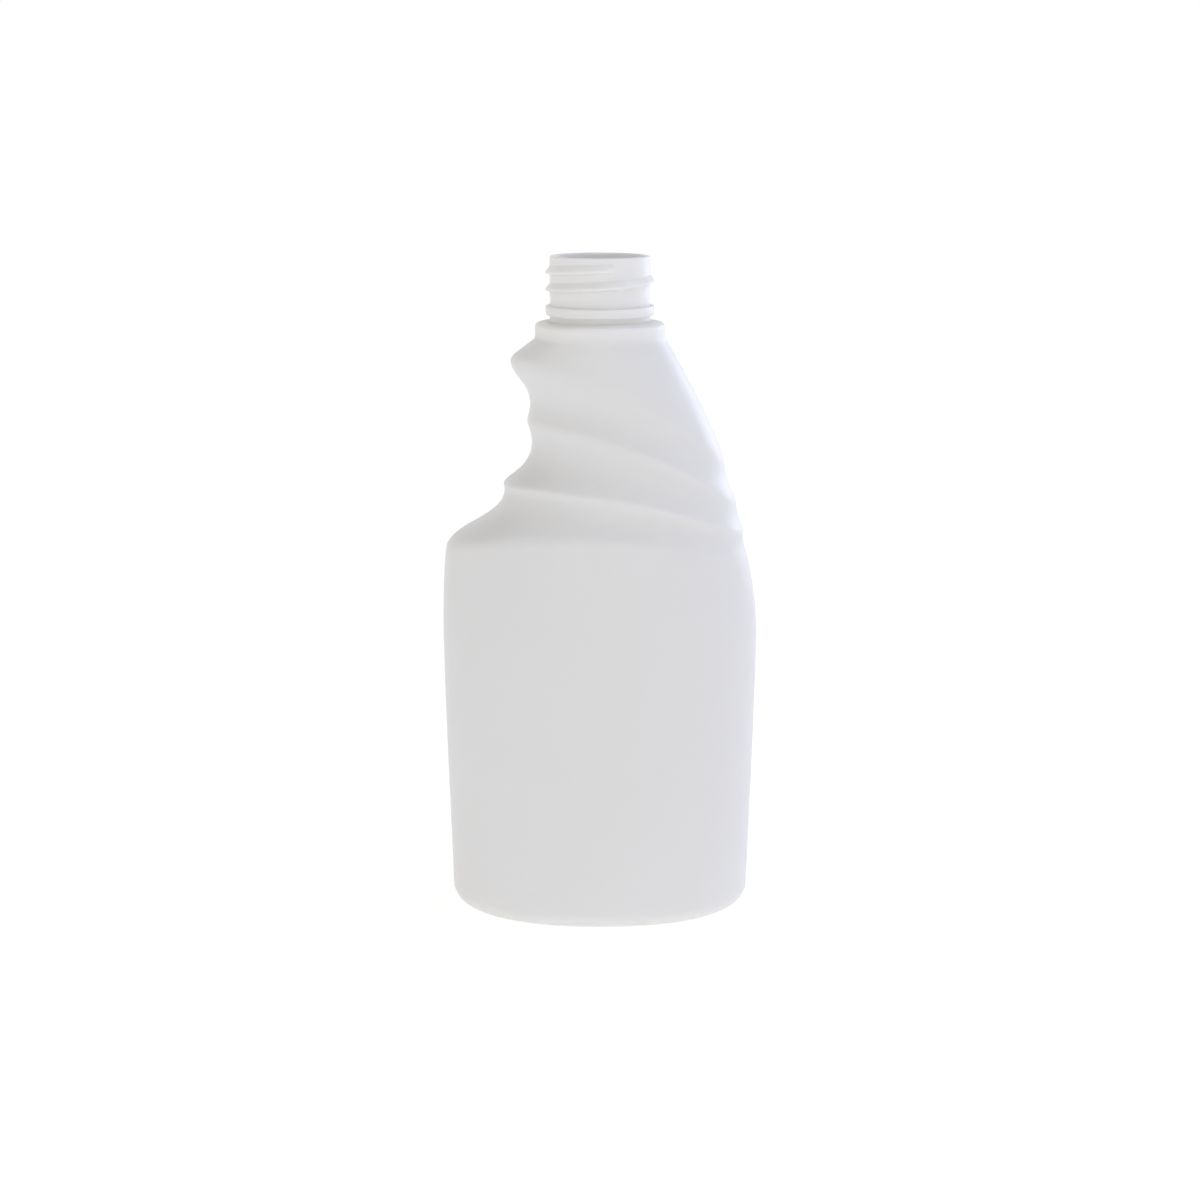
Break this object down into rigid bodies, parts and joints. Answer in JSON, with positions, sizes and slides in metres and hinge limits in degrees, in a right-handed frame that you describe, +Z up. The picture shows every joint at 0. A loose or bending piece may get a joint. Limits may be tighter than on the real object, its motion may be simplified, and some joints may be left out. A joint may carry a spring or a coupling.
{
  "type": "bottle",
  "caption": "Hollow blow-moulded spray bottle without its sprayer: oval body, grip with spiral finger grooves, round collar and an open neck with an outside screw thread",
  "frame": {"origin": "on the neck axis, which is also the middle of the oval body, at the level of the surface that the bottle stands on", "axes": "+Z up along the neck, +X towards the palm side of the grip, -X towards the finger grooves, Y through the depth, with the pictured face at -Y"},
  "size_m": [0.0832, 0.0488, 0.1748],
  "materials": {
    "moulded_plastic": "satin blow-moulded polyethylene, opaque white"
  },
  "bodies": {
    "root": {"bottle": "moulded_plastic"}
  },
  "joints": []
}
